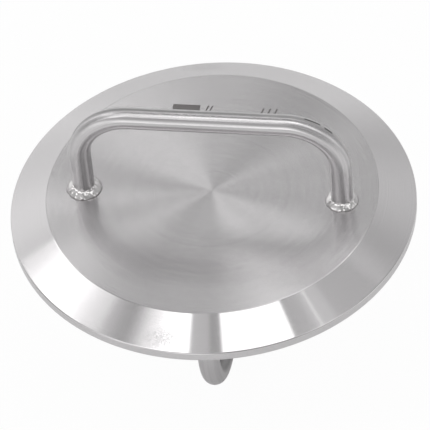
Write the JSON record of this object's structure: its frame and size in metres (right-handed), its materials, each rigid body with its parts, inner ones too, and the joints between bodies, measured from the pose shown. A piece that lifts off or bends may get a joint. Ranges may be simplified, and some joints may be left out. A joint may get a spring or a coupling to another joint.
{
  "type": "sanitary clamp end cap with hanging loop",
  "caption": "Blank disc that closes a 4 inch sanitary clamp port, with a lifting handle outside and a loop inside to hang a bag from.",
  "frame": {"origin": "centre of the flat sealing plane under the disc, on the port's axis", "axes": "+Z out of the sealing face through the disc and the handle, +X along the handle, the hanging loop in the YZ plane below"},
  "size_m": [0.1189, 0.1188, 0.101],
  "materials": {
    "turned_steel": "stainless steel turned on a lathe, with fine rings",
    "drawn_rod": "cold drawn stainless rod with fine lengthwise lines, polished",
    "weld_metal": "bright rippled stainless weld, as laid"
  },
  "bodies": {
    "root": {"cap": "turned_steel", "handle": "drawn_rod", "handle_weld_left": "weld_metal", "handle_weld_right": "weld_metal", "hop_loop": "drawn_rod", "loop_weld_front": "weld_metal", "loop_weld_back": "weld_metal"}
  },
  "joints": []
}
